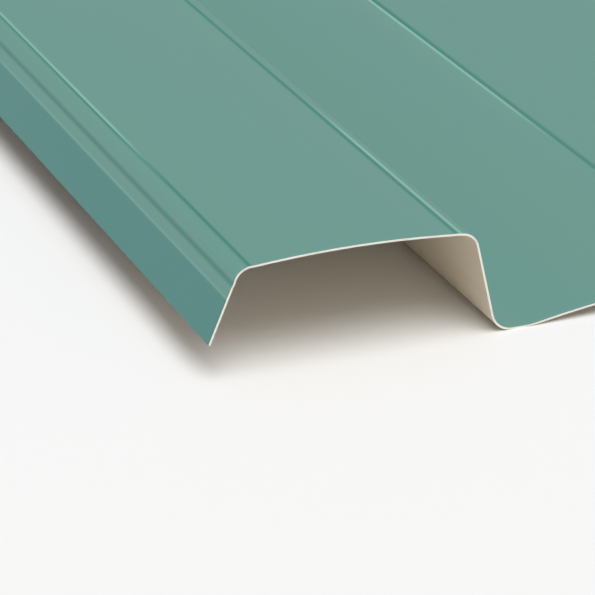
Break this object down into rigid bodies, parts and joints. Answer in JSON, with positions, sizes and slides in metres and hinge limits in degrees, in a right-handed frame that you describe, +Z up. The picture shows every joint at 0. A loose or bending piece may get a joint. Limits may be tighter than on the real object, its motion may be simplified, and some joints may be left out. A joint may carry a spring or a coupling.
{
  "type": "profiled metal sheet",
  "caption": "Trapezoidal profiled steel sheet with cambered ribs, wide raised valleys with two pressed grooves and a free leg along each side, painted on top and beige on the back.",
  "frame": {"origin": "on the floor under the middle of the sheet, in the plane of the valleys' undersides", "axes": "+X across the ribs, +Y along the ribs, +Z up, the painted weather side facing +Z"},
  "size_m": [0.9864, 2, 0.028],
  "materials": {
    "painted_sheet_steel": "satin grey-green coil paint on the weather side, beige back coat underneath, bare metal at the cut edges"
  },
  "bodies": {
    "root": {"profiled_sheet": "painted_sheet_steel"}
  },
  "joints": []
}
